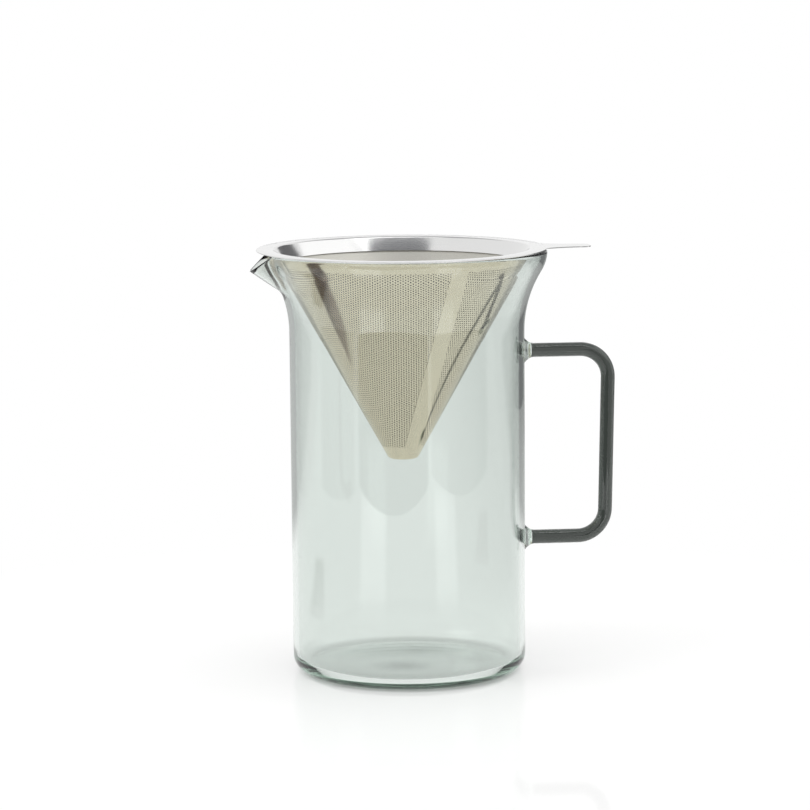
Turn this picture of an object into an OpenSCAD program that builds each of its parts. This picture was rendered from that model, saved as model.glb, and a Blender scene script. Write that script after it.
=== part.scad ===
// Pour-over coffee maker: a glass jug with a fused glass rod handle, and a
// double-walled steel cone filter that hangs in the mouth and lifts out.
// Millimetres, +Z up. The origin is the centre of the jug's underside.
// The handle and the filter's tab point along +X, the spout along -X.

/* [Jug] */
// Outside diameter of the straight body
body_d = 100; // [84:1:130]
// Height of the mouth's edge above the table
rim_h = 181; // [165:1:240]
// Thickness of the blown wall
wall = 2.2; // [1.8:0.1:3]
// Thickness of the floor
floor_t = 3.6; // [2.5:0.1:6]
// Outside radius of the corner between floor and wall
corner_r = 7.3; // [5:0.1:10]
// Radius of the curve by which the wall flares out
flare_r = 49; // [40:1:60]
// Steepest lean of the flared wall, in degrees from upright
flare_angle = 32; // [28:1:34]
// Radius of the curve that turns the mouth's edge upright again
lip_r = 16; // [13:0.5:20]

/* [Spout] */
// How far the spout's tip reaches past the mouth
spout_reach = 6.6; // [4:0.1:10]
// How far the spout's tip lies below the mouth's edge
spout_drop = 8.5; // [6:0.1:11]
// Width of the spout where it leaves the mouth
spout_w = 17; // [12:0.5:22]
// How far below the mouth's edge the spout starts on the wall
spout_root_drop = 16.7; // [14:0.1:20]

/* [Handle] */
// Diameter of the glass rod
rod_d = 6; // [5:0.1:9]
// Distance from the body's wall to the middle of the upright rod
handle_reach = 35.8; // [28:0.1:45]
// Height between the middles of the two arms
handle_h = 81; // [60:1:95]
// Distance of the upper arm below the mouth's edge
handle_drop = 44; // [40:1:55]
// Radius of the two bends, at the middle of the rod
bend_r = 12; // [8:0.5:16]
// Lean of the upright rod, top outwards, in degrees
handle_lean = 1.2; // [0:0.1:3]
// Diameter of the fused feet where they meet the wall
foot_d = 11.4; // [10:0.1:15]
// Length over which a foot narrows to the rod
foot_l = 4.4; // [3:0.1:7]

/* [Filter] */
// How far the flange's edge stands out past the mouth
flange_over = 1.8; // [1.2:0.1:4]
// Width of the flange, from its edge to where the collar turns down
flange_w = 7.2; // [6.6:0.1:10]
// Thickness of the flange, tab and collar
rim_t = 0.5; // [0.4:0.05:0.7]
// Radius of the pressed corner between flange and collar
press_r = 1.2; // [0.9:0.1:1.5]
// How far the filter sits off the jug's axis, towards the spout
filter_shift = 2; // [0:0.1:2]
// Half angle of the cone, in degrees
cone_angle = 29; // [27:0.5:33]
// Depth of the collar that the cone is welded to, from the flange's top
collar_h = 6; // [5:0.1:9]
// How far below the flange's top the outer cone's upper edge lies
cone_drop = 4.4; // [3:0.1:4.8]
// Thickness of the outer cone's perforated sheet
sheet_t = 0.4; // [0.3:0.05:0.6]
// Thickness of the fine inner mesh
mesh_t = 0.25; // [0.15:0.05:0.4]
// Outside radius of the cone where it starts to curl under
tip_r = 6.8; // [6:0.1:9]
// Outside radius of the curled lower edge
curl_r = 2; // [1.5:0.1:2.4]
// Width of the flat lip under the bottom disc
lip_w = 1.4; // [1:0.1:2]
// Thickness of the bottom disc
disc_t = 0.4; // [0.3:0.05:0.8]

/* [Tab] */
// How far the tab's end stands out past the flange
tab_l = 19; // [14:0.5:28]
// Width of the tab where it leaves the flange
tab_root_w = 23; // [16:0.5:28]
// Width of the tab near its end
tab_w = 12.6; // [10:0.1:15]
// Length of the rounding at the tab's end
tab_round = 3; // [2:0.1:5]

/* [Hidden] */

$fn = 128;
// Steps along each arc of an outline
arc_steps = 12;
// Segments round the balls that shape the spout
ball_fn = 24;
// Sides of the handle's rod, and steps along each of its feet
rod_sides = 24;
foot_steps = 6;
// Room between the filter's flange and the mouth's edge that carries it
seat_gap = 0.25;
// Room between the layers of the cone
layer_gap = 0.12;
// How deep the handle's feet are fused into the wall
foot_sink = 1;
// How far a cut runs past what it cuts
overrun = 10;
// Lean of the mouth's edge, where the lip's curve stops short of upright
edge_angle = 3;
// Radius of the ball that cuts the spout's channel, as a share of the wall
channel_ball_share = 0.15;
// How fast the tab narrows, and how square its end is
tab_power = 3;
round_power = 2.5;

body_r = body_d / 2;
edge_r = wall / 2;
rod_r = rod_d / 2;

// The flared mouth: centres of its curves, and the middle of its round edge
edge_z = rim_h - edge_r;
flare_cx = body_r + flare_r;
lip_cx = flare_cx - (flare_r + lip_r) * cos(flare_angle);
lip_cz = edge_z + (lip_r - edge_r) * sin(edge_angle);
flare_cz = lip_cz - (flare_r + lip_r) * sin(flare_angle);
edge_x = lip_cx + (lip_r - edge_r) * cos(edge_angle);
mouth_r = lip_cx + lip_r;
inner_corner_r = corner_r - wall;

// The spout's skeleton: its tip, its root on the wall and its two shoulders
spout_root_z = rim_h - spout_root_drop;
spout_tip = [-(mouth_r + spout_reach - edge_r), 0, rim_h - spout_drop];
spout_root = [edge_r - flare_at(spout_root_z), 0, spout_root_z];
shoulder_y = spout_w / 2;
shoulder_x = -sqrt(edge_x * edge_x - shoulder_y * shoulder_y);
spout_points = [
    spout_tip,
    spout_root,
    [shoulder_x, shoulder_y, edge_z],
    [shoulder_x, -shoulder_y, edge_z]
];
channel_r = wall * channel_ball_share;
spout_face = cross(spout_tip - spout_root, spout_points[2] - spout_root);
channel_rise = (edge_r + channel_r) * norm(spout_face) / abs(spout_face.z);

// The handle's bends and arms, in its own upright plane
arm_top_z = rim_h - handle_drop;
arm_low_z = arm_top_z - handle_h;
bend_top_z = arm_top_z - bend_r;
bend_low_z = arm_low_z + bend_r;
bend_half_h = (bend_top_z - bend_low_z) / 2;
bend_mid_x = body_r + handle_reach - bend_r / cos(handle_lean);
bend_top_x = bend_mid_x + bend_half_h * tan(handle_lean);
bend_low_x = bend_mid_x - bend_half_h * tan(handle_lean);
foot_x = body_r - foot_sink;

// The filter: flange, collar and the layers of the cone, as depths outwards
// from the collar's inner face
flange_top = rim_h + seat_gap + rim_t;
flange_r = mouth_r + flange_over;
throat_r = flange_r - flange_w;
mesh_in = rim_t + layer_gap;
mesh_out = mesh_in + mesh_t;
sheet_in = mesh_out + layer_gap;
sheet_out = sheet_in + sheet_t;
collar_z = flange_top - collar_h;
cone_top_z = flange_top - cone_drop;
press_cx = throat_r + press_r / tan((90 + cone_angle) / 2);
press_cz = flange_top - press_r;
curl_start_z = flange_top
    - (throat_r + sheet_out / cos(cone_angle) - tip_r) / tan(cone_angle);
curl_cx = tip_r - curl_r * cos(cone_angle);
curl_cz = curl_start_z + curl_r * sin(cone_angle);
tip_z = curl_cz - curl_r;

// The tab: from inside the flange, past its edge, to the tab's end
tab_start = flange_r - flange_w / 2;
tab_end = flange_r + tab_l;
tab_root = sqrt(flange_r * flange_r - tab_root_w * tab_root_w / 4) - rim_t;

// Points along an arc about [cx, cz], from angle a0 to a1
function arc(cx, cz, r, a0, a1) = [
    for (i = [0 : arc_steps])
    let (a = a0 + (a1 - a0) * i / arc_steps)
    [cx + r * cos(a), cz + r * sin(a)]
];

// Outside radius of the flaring wall at a height on its first curve
function flare_at(z) = flare_cx - sqrt(flare_r * flare_r - (z - flare_cz) * (z - flare_cz));

// Radius, at a height, of the cone that lies a depth outside the collar's inner face
function cone_at(z, depth) =
    throat_r - (flange_top - z) * tan(cone_angle) + depth / cos(cone_angle);

// The wall's inner outline, from the mouth down to the middle of the floor
function inside_points() = concat(
    arc(lip_cx, lip_cz, lip_r - wall, -edge_angle, -flare_angle),
    arc(flare_cx, flare_cz, flare_r + wall, 180 - flare_angle, 180),
    arc(body_r - corner_r, floor_t + inner_corner_r, inner_corner_r, 0, -90),
    [[0, floor_t]]
);

// The wall's outer outline, from the middle of the underside up to the mouth
function outside_points() = concat(
    [[0, 0]],
    arc(body_r - corner_r, corner_r, corner_r, -90, 0),
    arc(flare_cx, flare_cz, flare_r, 180, 180 - flare_angle),
    arc(lip_cx, lip_cz, lip_r, -flare_angle, -edge_angle)
);

// Half the tab's width at a distance from the filter's axis
function tab_half(x) =
    let (t = max(0, (x - tab_root) / (tab_end - tab_root)))
    let (u = max(0, (x - tab_end + tab_round) / tab_round))
    (tab_w + (tab_root_w - tab_w) * pow(1 - t, tab_power)) / 2
    * pow(1 - pow(u, round_power), 1 / round_power);

// The jug: one blown glass vessel with a flared, fire-polished mouth
module jug() {
    color([0.80, 0.86, 0.84, 0.5])
    difference() {
        union() {
            rotate_extrude()
            polygon(concat(
                outside_points(),
                arc(edge_x, edge_z, edge_r, -edge_angle, 180 - edge_angle),
                inside_points()
            ));
            difference() {
                spout_hull(edge_r, [0, 0, 0]);
                rotate_extrude()
                polygon(concat([[0, rim_h + overrun], [edge_x - edge_r, rim_h + overrun]],
                    inside_points()));
            }
        }
        spout_hull(channel_r, [0, 0, overrun]);
    }
}

// The spout's form, as balls at its skeleton's points. An opening above cuts
// the channel: the same form, raised by the wall and drawn out upwards.
module spout_hull(r, opening) {
    lift = opening.z > 0 ? channel_rise : 0;
    hull()
    for (p = spout_points, up = [0, 1])
        translate(p + [0, 0, lift] + up * opening)
        sphere(r = r, $fn = ball_fn);
}

// The handle: one bent glass rod, with a flared foot fused to the wall at each end
module handle() {
    color([0.20, 0.23, 0.24])
    polyhedron(
        points = [
            for (ring = handle_rings(), j = [0 : rod_sides - 1])
            let (a = 360 * j / rod_sides)
            [
                ring[0] - ring[3] * cos(a) * sin(ring[2]),
                ring[3] * sin(a),
                ring[1] + ring[3] * cos(a) * cos(ring[2])
            ]
        ],
        faces = tube_faces(len(handle_rings()), rod_sides)
    );
}

// The rod's rings, from the upper foot to the lower one: each is a place in the
// upright plane, the way the rod runs there and its radius
function handle_rings() = concat(
    [[foot_x, arm_top_z, 0, foot_radius(0)]],
    [for (i = [0 : foot_steps])
        let (t = i / foot_steps)
        [body_r + foot_l * t, arm_top_z, 0, foot_radius(t)]],
    [for (i = [0 : arc_steps])
        let (a = 90 - (90 + handle_lean) * i / arc_steps)
        [bend_top_x + bend_r * cos(a), bend_top_z + bend_r * sin(a), a - 90, rod_r]],
    [for (i = [0 : arc_steps])
        let (a = -handle_lean - (90 - handle_lean) * i / arc_steps)
        [bend_low_x + bend_r * cos(a), bend_low_z + bend_r * sin(a), a - 90, rod_r]],
    [for (i = [foot_steps : -1 : 0])
        let (t = i / foot_steps)
        [body_r + foot_l * t, arm_low_z, -180, foot_radius(t)]],
    [[foot_x, arm_low_z, -180, foot_radius(0)]]
);

// Radius of a foot, from 0 at the wall to 1 where the plain rod begins
function foot_radius(t) = rod_r + (foot_d / 2 - rod_r) * (1 - t) * (1 - t);

// Faces of a closed tube of so many rings, each with so many sides
function tube_faces(rings, sides) = concat(
    [[for (j = [0 : sides - 1]) j]],
    [for (i = [0 : rings - 2], j = [0 : sides - 1])
        let (k = (j + 1) % sides)
        [i * sides + j, (i + 1) * sides + j, (i + 1) * sides + k]],
    [for (i = [0 : rings - 2], j = [0 : sides - 1])
        let (k = (j + 1) % sides)
        [i * sides + j, (i + 1) * sides + k, i * sides + k]],
    [[for (j = [sides - 1 : -1 : 0]) (rings - 1) * sides + j]]
);

// The filter's rim: flange, tab and collar, pressed from one steel sheet
module filter_rim() {
    color([0.86, 0.87, 0.88])
    translate([-filter_shift, 0, 0])
    union() {
        rotate_extrude()
        polygon(concat(
            [[flange_r, flange_top]],
            arc(press_cx, press_cz, press_r, 90, 180 - cone_angle),
            [[cone_at(collar_z, 0), collar_z], [cone_at(collar_z, rim_t), collar_z]],
            arc(press_cx, press_cz, press_r - rim_t, 180 - cone_angle, 90),
            [[flange_r, flange_top - rim_t]]
        ));
        translate([0, 0, flange_top - rim_t])
            linear_extrude(height = rim_t)
            polygon(tab_points());
    }
}

// The tab's outline: one side out along it, and the other side back
function tab_points() =
    let (n = 2 * arc_steps)
    let (root_step = (tab_end - tab_round - tab_root) / n)
    let (xs = concat(
        [tab_start],
        [for (i = [0 : n]) tab_root + i * root_step],
        [for (i = [1 : n]) tab_end - tab_round * (1 - sin(90 * i / n))]
    ))
    concat(
        [for (x = xs) [x, -tab_half(x)]],
        [for (i = [len(xs) - 2 : -1 : 0]) [xs[i], tab_half(xs[i])]]
    );

// The outer cone: perforated sheet, welded to the collar and curled in at its tip
module filter_cone() {
    color([0.73, 0.72, 0.66])
    translate([-filter_shift, 0, 0])
    rotate_extrude()
    polygon(concat(
        [[cone_at(cone_top_z, sheet_in), cone_top_z], [cone_at(cone_top_z, sheet_out), cone_top_z]],
        arc(curl_cx, curl_cz, curl_r, -cone_angle, -90),
        [[curl_cx - lip_w, tip_z], [curl_cx - lip_w, tip_z + sheet_t]],
        arc(curl_cx, curl_cz, curl_r - sheet_t, -90, -cone_angle)
    ));
}

// The inner cone: fine mesh held between the collar and the outer cone
module filter_mesh() {
    color([0.66, 0.66, 0.63])
    translate([-filter_shift, 0, 0])
    rotate_extrude()
    polygon([
        [cone_at(cone_top_z, mesh_in), cone_top_z],
        [cone_at(cone_top_z, mesh_out), cone_top_z],
        [cone_at(curl_cz, mesh_out), curl_cz],
        [cone_at(curl_cz, mesh_in), curl_cz]
    ]);
}

// The disc that closes the tip, lying on the curled lip
module filter_disc() {
    color([0.78, 0.78, 0.75])
    translate([-filter_shift, 0, tip_z + sheet_t + layer_gap])
    cylinder(h = disc_t, r = curl_cx);
}

jug();
handle();
filter_rim();
filter_cone();
filter_mesh();
filter_disc();
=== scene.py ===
# %% [markdown]
# # A pour-over coffee maker, dressed for its picture
#
# The real object is a jug of thin grey-green glass with a dark glass handle, and
# a steel cone filter that hangs in its mouth. Its solids come from the CAD
# frame, which already has the right sizes and knows that the filter lifts out.
#
# A solid can't show the filter's 14,000 holes, the way the spout is pulled from
# the hot rim, or how light goes through glass. Those are made here, piece by
# piece, in the frame's own place and in metres, and each new piece takes the
# place of the solid that it stands for.

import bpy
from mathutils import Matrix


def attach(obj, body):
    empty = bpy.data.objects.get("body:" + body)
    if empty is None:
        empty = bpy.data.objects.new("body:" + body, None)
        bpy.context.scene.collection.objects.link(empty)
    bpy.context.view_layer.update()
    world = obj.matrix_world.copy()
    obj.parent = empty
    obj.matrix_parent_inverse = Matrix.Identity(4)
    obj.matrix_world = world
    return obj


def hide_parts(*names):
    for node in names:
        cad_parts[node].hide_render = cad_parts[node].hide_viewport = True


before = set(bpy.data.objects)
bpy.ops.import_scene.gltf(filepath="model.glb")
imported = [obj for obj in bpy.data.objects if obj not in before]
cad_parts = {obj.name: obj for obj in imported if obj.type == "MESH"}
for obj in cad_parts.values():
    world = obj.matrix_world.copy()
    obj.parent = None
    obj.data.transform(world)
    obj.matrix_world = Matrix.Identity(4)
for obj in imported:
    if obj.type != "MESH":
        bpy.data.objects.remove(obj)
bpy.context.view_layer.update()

# %% [markdown]
# ## The camera
#
# The photograph was taken from a little above the table with a long lens, which
# keeps the jug's sides almost upright. The camera could be aimed by eye, but
# the ellipses of the rim and the base say where it stood, so its place and
# turns are written as they were solved. Each turn is a plain rotation: round
# the table first, then down towards it, and last a slight roll.

# %% Place the camera
import bpy
import bmesh
from math import atan2, cos, degrees, hypot, pi, radians, sin, sqrt, tan
from mathutils import Matrix, Vector

CAMERA_PLACE = Vector((-0.1390, -1.4437, 0.3216))
CAMERA_ROUND = radians(-5.458)
CAMERA_DOWN = radians(8.129)
CAMERA_ROLL = radians(-0.475)

bpy.ops.object.camera_add()
camera = bpy.context.object
camera.name = "camera"
camera.data.sensor_width = 36
camera.data.sensor_fit = "HORIZONTAL"
camera.data.lens = 152.52
camera.matrix_world = (
    Matrix.Translation(CAMERA_PLACE)
    @ Matrix.Rotation(CAMERA_ROUND, 4, "Z")
    @ Matrix.Rotation(pi / 2 - CAMERA_DOWN, 4, "X")
    @ Matrix.Rotation(CAMERA_ROLL, 4, "Z")
)
bpy.context.scene.camera = camera
looks_along = camera.matrix_world.to_3x3() @ Vector((0, 0, -1))
print("The camera looks along", [round(v, 3) for v in looks_along])

# %% [markdown]
# ## A few helpers
#
# Blender's operators work on whatever is selected, and a freshly loaded frame
# has everything selected. So each step starts by selecting nothing, and then
# picks what it needs by its place. These short helpers serve every piece below.

# %% Helpers for selecting
MM = 0.001


def settle():
    """Object mode, with nothing selected."""
    if bpy.context.object and bpy.context.object.mode != "OBJECT":
        bpy.ops.object.mode_set(mode="OBJECT")
    bpy.ops.object.select_all(action="DESELECT")


def begin(name):
    """Names the piece that was just added, and goes into its edit mode."""
    piece = bpy.context.object
    piece.name = piece.data.name = name
    bpy.ops.object.mode_set(mode="EDIT")
    bpy.ops.mesh.select_mode(type="VERT")
    return piece


def pick(piece, test, kind="verts"):
    """Selects only the vertices, edges or faces whose middle passes the test."""
    bpy.ops.mesh.select_mode(type={"verts": "VERT", "edges": "EDGE", "faces": "FACE"}[kind])
    bpy.ops.mesh.select_all(action="DESELECT")
    mesh = bmesh.from_edit_mesh(piece.data)
    found = 0
    for part in getattr(mesh, kind):
        corners = [part] if kind == "verts" else part.verts
        middle = sum((v.co for v in corners), Vector()) / len(corners)
        if test(middle):
            part.select_set(True)
            found += 1
    mesh.select_flush_mode()
    bmesh.update_edit_mesh(piece.data)
    return found


def select_everything():
    """Selects the whole piece in edit mode."""
    bpy.ops.mesh.select_all(action="SELECT")


# %% Helpers for shaping
def move_points(piece, rule):
    """Moves every vertex to where the rule says."""
    mesh = bmesh.from_edit_mesh(piece.data)
    for v in mesh.verts:
        v.co = rule(v.co)
    bmesh.update_edit_mesh(piece.data)


def extrude(step=(0, 0, 0)):
    """Extrudes what is selected by a step, or in place, to be moved afterwards."""
    bpy.ops.mesh.extrude_region_move(TRANSFORM_OT_translate={"value": step})


def close_up(reach=0.002 * MM):
    """Merges points this close together, and turns all faces outwards."""
    select_everything()
    bpy.ops.mesh.remove_doubles(threshold=reach)
    bpy.ops.mesh.normals_make_consistent(inside=False)


# %% Helpers for finishing
def apply_modifier(piece, kind, **settings):
    """Adds a modifier with these settings and applies it."""
    bpy.context.view_layer.objects.active = piece
    modifier = piece.modifiers.new(kind.lower(), kind)
    for name, value in settings.items():
        setattr(modifier, name, value)
    bpy.ops.object.modifier_apply(modifier=modifier.name)


def join_pieces(first, *others):
    """Joins the other pieces into the first one."""
    settle()
    for piece in (first, *others):
        piece.select_set(True)
    bpy.context.view_layer.objects.active = first
    bpy.ops.object.join()


def finish_piece(piece, body, slot_name, *nodes, sharp=0):
    """Smooth faces, the CAD body that carries it and the solids that it stands for.
    Edges over an angle of sharp degrees stay sharp, where one is given."""
    settle()
    bpy.context.view_layer.objects.active = piece
    piece.select_set(True)
    bpy.ops.object.transform_apply(location=True, rotation=True, scale=True)
    bpy.ops.object.shade_smooth()
    if sharp:
        bpy.ops.object.shade_smooth_by_angle(angle=radians(sharp))
    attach(piece, body)
    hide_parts(*nodes)
    triangles = sum(len(face.vertices) - 2 for face in piece.data.polygons)
    print(f"{piece.name}: {triangles} triangles, {[round(v * 1000, 1) for v in piece.dimensions]} mm")
    piece.select_set(False)


# %% [markdown]
# ## Drawing an outline
#
# Most of this object is turned: the glass on a lathe, the steel on a spinning
# form. For such a piece one outline is drawn from the axis outwards, and Spin
# carries it round. The outline starts as a single vertex, as when one draws
# with Extrude: each new point is an extrusion from the last. Arcs are lists of
# points, so their radii stay exact.

# %% Outline helpers
def arc(centre_x, centre_z, radius, start, end, steps):
    """Points on an arc in the upright XZ plane; the angles are in degrees from +X."""
    angles = [radians(start + (end - start) * i / steps) for i in range(steps + 1)]
    return [Vector((centre_x + radius * cos(a), 0, centre_z + radius * sin(a))) for a in angles]


def spot(x, z):
    """A point of an outline."""
    return Vector((x, 0, z))


def draw_outline(name, points, closed=False):
    """One vertex, extruded from point to point."""
    settle()
    bpy.ops.mesh.primitive_plane_add(size=MM)
    piece = begin(name)
    bpy.ops.mesh.merge(type="CENTER")
    bpy.ops.transform.translate(value=points[0])
    for here, there in zip(points, points[1:]):
        extrude(there - here)
    if closed:
        ends = (points[0], points[-1])
        pick(piece, lambda p: min((p - end).length for end in ends) < 0.001 * MM)
        bpy.ops.mesh.edge_face_add()
    return piece


def spin_outline(steps, centre_x=0.0):
    """Spins the drawn outline once round the upright line at centre_x."""
    select_everything()
    bpy.ops.mesh.spin(steps=steps, angle=2 * pi, center=(centre_x, 0, 0), axis=(0, 0, 1))
    close_up()


# %% [markdown]
# ## The jug
#
# The jug is blown from one tube: a straight wall, a floor with a soft corner,
# and a mouth that flares and then turns upright again. A cup could be made by
# extruding a circle upwards, but glass shows every uneven step, so the whole
# wall is drawn as one outline, up the outside and down the inside, and spun.
# The underside is pushed up a little in the middle, as on most glass, so that
# the jug stands on a ring.

# %% Draw the wall and spin it
WALL = 2.2 * MM
BODY_R = 50 * MM
FLOOR = 3.6 * MM
CORNER_R = 7.3 * MM
FLARE_R = 49 * MM
FLARE_X = 99 * MM
FLARE_Z = 146.24 * MM
FLARE_TURN = 32
LIP_R = 16 * MM
LIP_X = 43.88 * MM
LIP_Z = 180.68 * MM
EDGE_R = WALL / 2
EDGE_X = 58.76 * MM
EDGE_Z = 179.9 * MM
PUSH_UP = 0.8 * MM

underside = [
    spot(0, PUSH_UP),
    spot(18 * MM, 0.72 * PUSH_UP),
    spot(32 * MM, 0.28 * PUSH_UP),
    spot(38 * MM, 0.06 * PUSH_UP),
    spot(40.5 * MM, 0),
]
outside = (
    arc(BODY_R - CORNER_R, CORNER_R, CORNER_R, -90, 0, 10)
    + [spot(BODY_R, z * MM) for z in range(25, 146, 20)]
    + arc(FLARE_X, FLARE_Z, FLARE_R, 180, 180 - FLARE_TURN, 10)
    + arc(LIP_X, LIP_Z, LIP_R, -29, -5, 6)
)
edge = arc(EDGE_X, EDGE_Z, EDGE_R, -3, 177, 8)
inside = (
    arc(LIP_X, LIP_Z, LIP_R - WALL, -5, -29, 6)
    + arc(FLARE_X, FLARE_Z, FLARE_R + WALL, 180 - FLARE_TURN, 180, 10)
    + [spot(BODY_R - WALL, z * MM) for z in range(130, 20, -20)]
    + arc(BODY_R - CORNER_R, FLOOR + CORNER_R - WALL, CORNER_R - WALL, 0, -90, 8)
)
floor_top = [
    spot(36 * MM, FLOOR + 0.05 * MM),
    spot(24 * MM, FLOOR + 0.2 * MM),
    spot(12 * MM, FLOOR + 0.3 * MM),
    spot(0, FLOOR + 0.35 * MM),
]
wall_outline = underside + outside + edge + inside + floor_top

jug_glass = draw_outline("jug_glass", wall_outline)
spin_outline(256)
print("Points in the wall's outline:", len(wall_outline))

# %% [markdown]
# ## The spout
#
# The glassmaker softens a small part of the rim and pulls it out and down with
# a rod. It could be cut and bridged as a separate form, but then it would have
# a seam. Here the same thing is done as in the workshop: the points near the
# spout's middle are pulled the furthest, and those towards its shoulders less,
# so the wall stays in one piece. In the middle the rim goes out and down to the
# tip, and the wall under it becomes the straight keel. The pull starts softly,
# so that the keel leaves the flare without a crease, and the rim dips over a
# somewhat wider part than the one that is pulled out.

# %% Pull the spout
SPOUT_HALF = 15 * MM
SPOUT_ROOT = spot(53.35 * MM, 163.8 * MM)
SPOUT_TIP = spot(67.1 * MM, 173.2 * MM)
DIP_HALF = 19 * MM
DIP_SHARE = 0.4
SOFT_SHARE = 0.1
RIM_H = 181 * MM


def wall_radius(z):
    """Outside radius of the wall at a height."""
    if z < FLARE_Z:
        return BODY_R
    if z < FLARE_Z + FLARE_R * sin(radians(FLARE_TURN)):
        return FLARE_X - sqrt(FLARE_R**2 - (z - FLARE_Z) ** 2)
    return LIP_X + sqrt(LIP_R**2 - (z - LIP_Z) ** 2)


def pull_spout(p):
    """Where a point of the wall goes when the spout is pulled."""
    if p.x > 0 or abs(p.y) >= DIP_HALF or p.z < SPOUT_ROOT.z:
        return p
    pull = cos(pi / 2 * min(1, abs(p.y) / SPOUT_HALF)) ** 2
    dip = DIP_SHARE * cos(pi / 2 * abs(p.y) / DIP_HALF) ** 2 + (1 - DIP_SHARE) * pull
    rise = (p.z - SPOUT_ROOT.z) / (RIM_H - SPOUT_ROOT.z)
    keel = SPOUT_ROOT.lerp(SPOUT_TIP, rise)
    out = keel.x - wall_radius(min(p.z, RIM_H))
    down = p.z - keel.z
    begun = min(1, rise / SOFT_SHARE)
    soft = begun**2 * (3 - 2 * begun)
    return Vector((p.x - max(out, 0) * pull * soft, p.y, p.z - down * dip * soft))


print("The spout's tip is pulled to", [round(v * 1000, 1) for v in SPOUT_TIP], "mm, towards -X")
move_points(jug_glass, pull_spout)
settle()
apply_modifier(jug_glass, "SUBSURF", levels=1, render_levels=1, use_limit_surface=False)
finish_piece(jug_glass, "jug", "jug_glass", "jug")

# %% [markdown]
# ## The handle
#
# The handle is one dark glass rod, bent twice, and joined to the wall by two
# small feet of the jug's own paler glass. It could be a curve with a round
# profile, but a rod that is extruded and spun, like a plumber's elbow, keeps
# its rings square to its path and gives exact bends. A ring of vertices starts
# at the upper foot; Extrude makes the arms and Spin makes the bends.

# %% Sizes of the handle
ROD_R = 3 * MM
ARM_TOP = 137 * MM
ARM_LOW = 56 * MM
LEAN = radians(1.2)
BEND_TOP = spot(74.39 * MM, 125 * MM)
BEND_LOW = spot(73.20 * MM, 68 * MM)
FOOT_R = 5.7 * MM
FOOT_L = 4.4 * MM
ROD_START = BODY_R + 3.1 * MM
RING_SIDES = 48
RING_STEP = 0.35 * MM
BEND_STEPS = 20
BAR_STEPS = 8
SMALL = 0.01 * MM


def foot_radius(x):
    """Radius of the flared foot at a distance from the jug's axis."""
    t = min(1, max(0, (x - BODY_R) / FOOT_L))
    return ROD_R + (FOOT_R - ROD_R) * (1 - t) ** 2


def ring_of_rod(name, x, z):
    """A ring of vertices round the rod's path, where the rod runs along X."""
    settle()
    bpy.ops.mesh.primitive_circle_add(
        vertices=RING_SIDES,
        radius=foot_radius(x),
        fill_type="NOTHING",
        location=(x, 0, z),
        rotation=(0, pi / 2, 0),
    )
    bpy.ops.object.transform_apply(location=True, rotation=True, scale=True)
    piece = begin(name)
    select_everything()
    return piece


def next_ring(step, here, grown):
    """Extrudes the selected ring by a step, and resizes it about its own middle."""
    extrude(step)
    bpy.ops.transform.resize(value=(grown, grown, grown), center_override=here + step)


# %% Extrude and spin the rod
rod = ring_of_rod("handle_rod", ROD_START, ARM_TOP)
x = ROD_START
while x < BODY_R + FOOT_L - SMALL:
    step = min(RING_STEP, BODY_R + FOOT_L - x)
    next_ring(spot(step, 0), spot(x, ARM_TOP), foot_radius(x + step) / foot_radius(x))
    x += step

half_arm = spot((BEND_TOP.x - x) / 2, 0)
for _ in range(2):
    extrude(half_arm)
bpy.ops.mesh.spin(steps=BEND_STEPS, angle=pi / 2 + LEAN, center=BEND_TOP, axis=(0, -1, 0))
down = spot(-sin(LEAN), -cos(LEAN)) * (BEND_TOP - BEND_LOW).length
for _ in range(BAR_STEPS):
    extrude(down / BAR_STEPS)
bpy.ops.mesh.spin(steps=BEND_STEPS, angle=pi / 2 - LEAN, center=BEND_LOW, axis=(0, -1, 0))
x = BODY_R + FOOT_L
half_arm = spot((x - BEND_LOW.x) / 2, 0)
for _ in range(2):
    extrude(half_arm)
while x > ROD_START + SMALL:
    step = min(RING_STEP, x - ROD_START)
    next_ring(spot(-step, 0), spot(x, ARM_LOW), foot_radius(x - step) / foot_radius(x))
    x -= step
print("The lower end of the rod is at", round(x * 1000, 2), "mm")

# %% Close the rod and finish it
def cap_ends(piece, test):
    """Fills the open rings whose middles pass the test, each with one face."""
    pick(piece, test, "edges")
    bpy.ops.mesh.edge_face_add()


for height in (ARM_TOP, ARM_LOW):
    cap_ends(rod, lambda p: abs(p.x - ROD_START) < 0.001 * MM and abs(p.z - height) < 2 * ROD_R)
close_up()
finish_piece(rod, "jug", "handle_glass", "handle", sharp=50)

# %% [markdown]
# ## The feet
#
# Where the rod meets the wall, the glassmaker sets a small button of the jug's
# pale glass and lets it flow out. In the photograph these feet are clear, and
# the dark rod starts about 3 mm from the wall. A foot is a ring that flares
# towards the wall and is then closed by rings that follow the wall's own curve.
# It reaches a hair into the wall, because glass that is fused has no surface
# between the two, and light then passes almost straight through.

# %% Flare one foot onto the wall
SINK = 0.05 * MM


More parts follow.
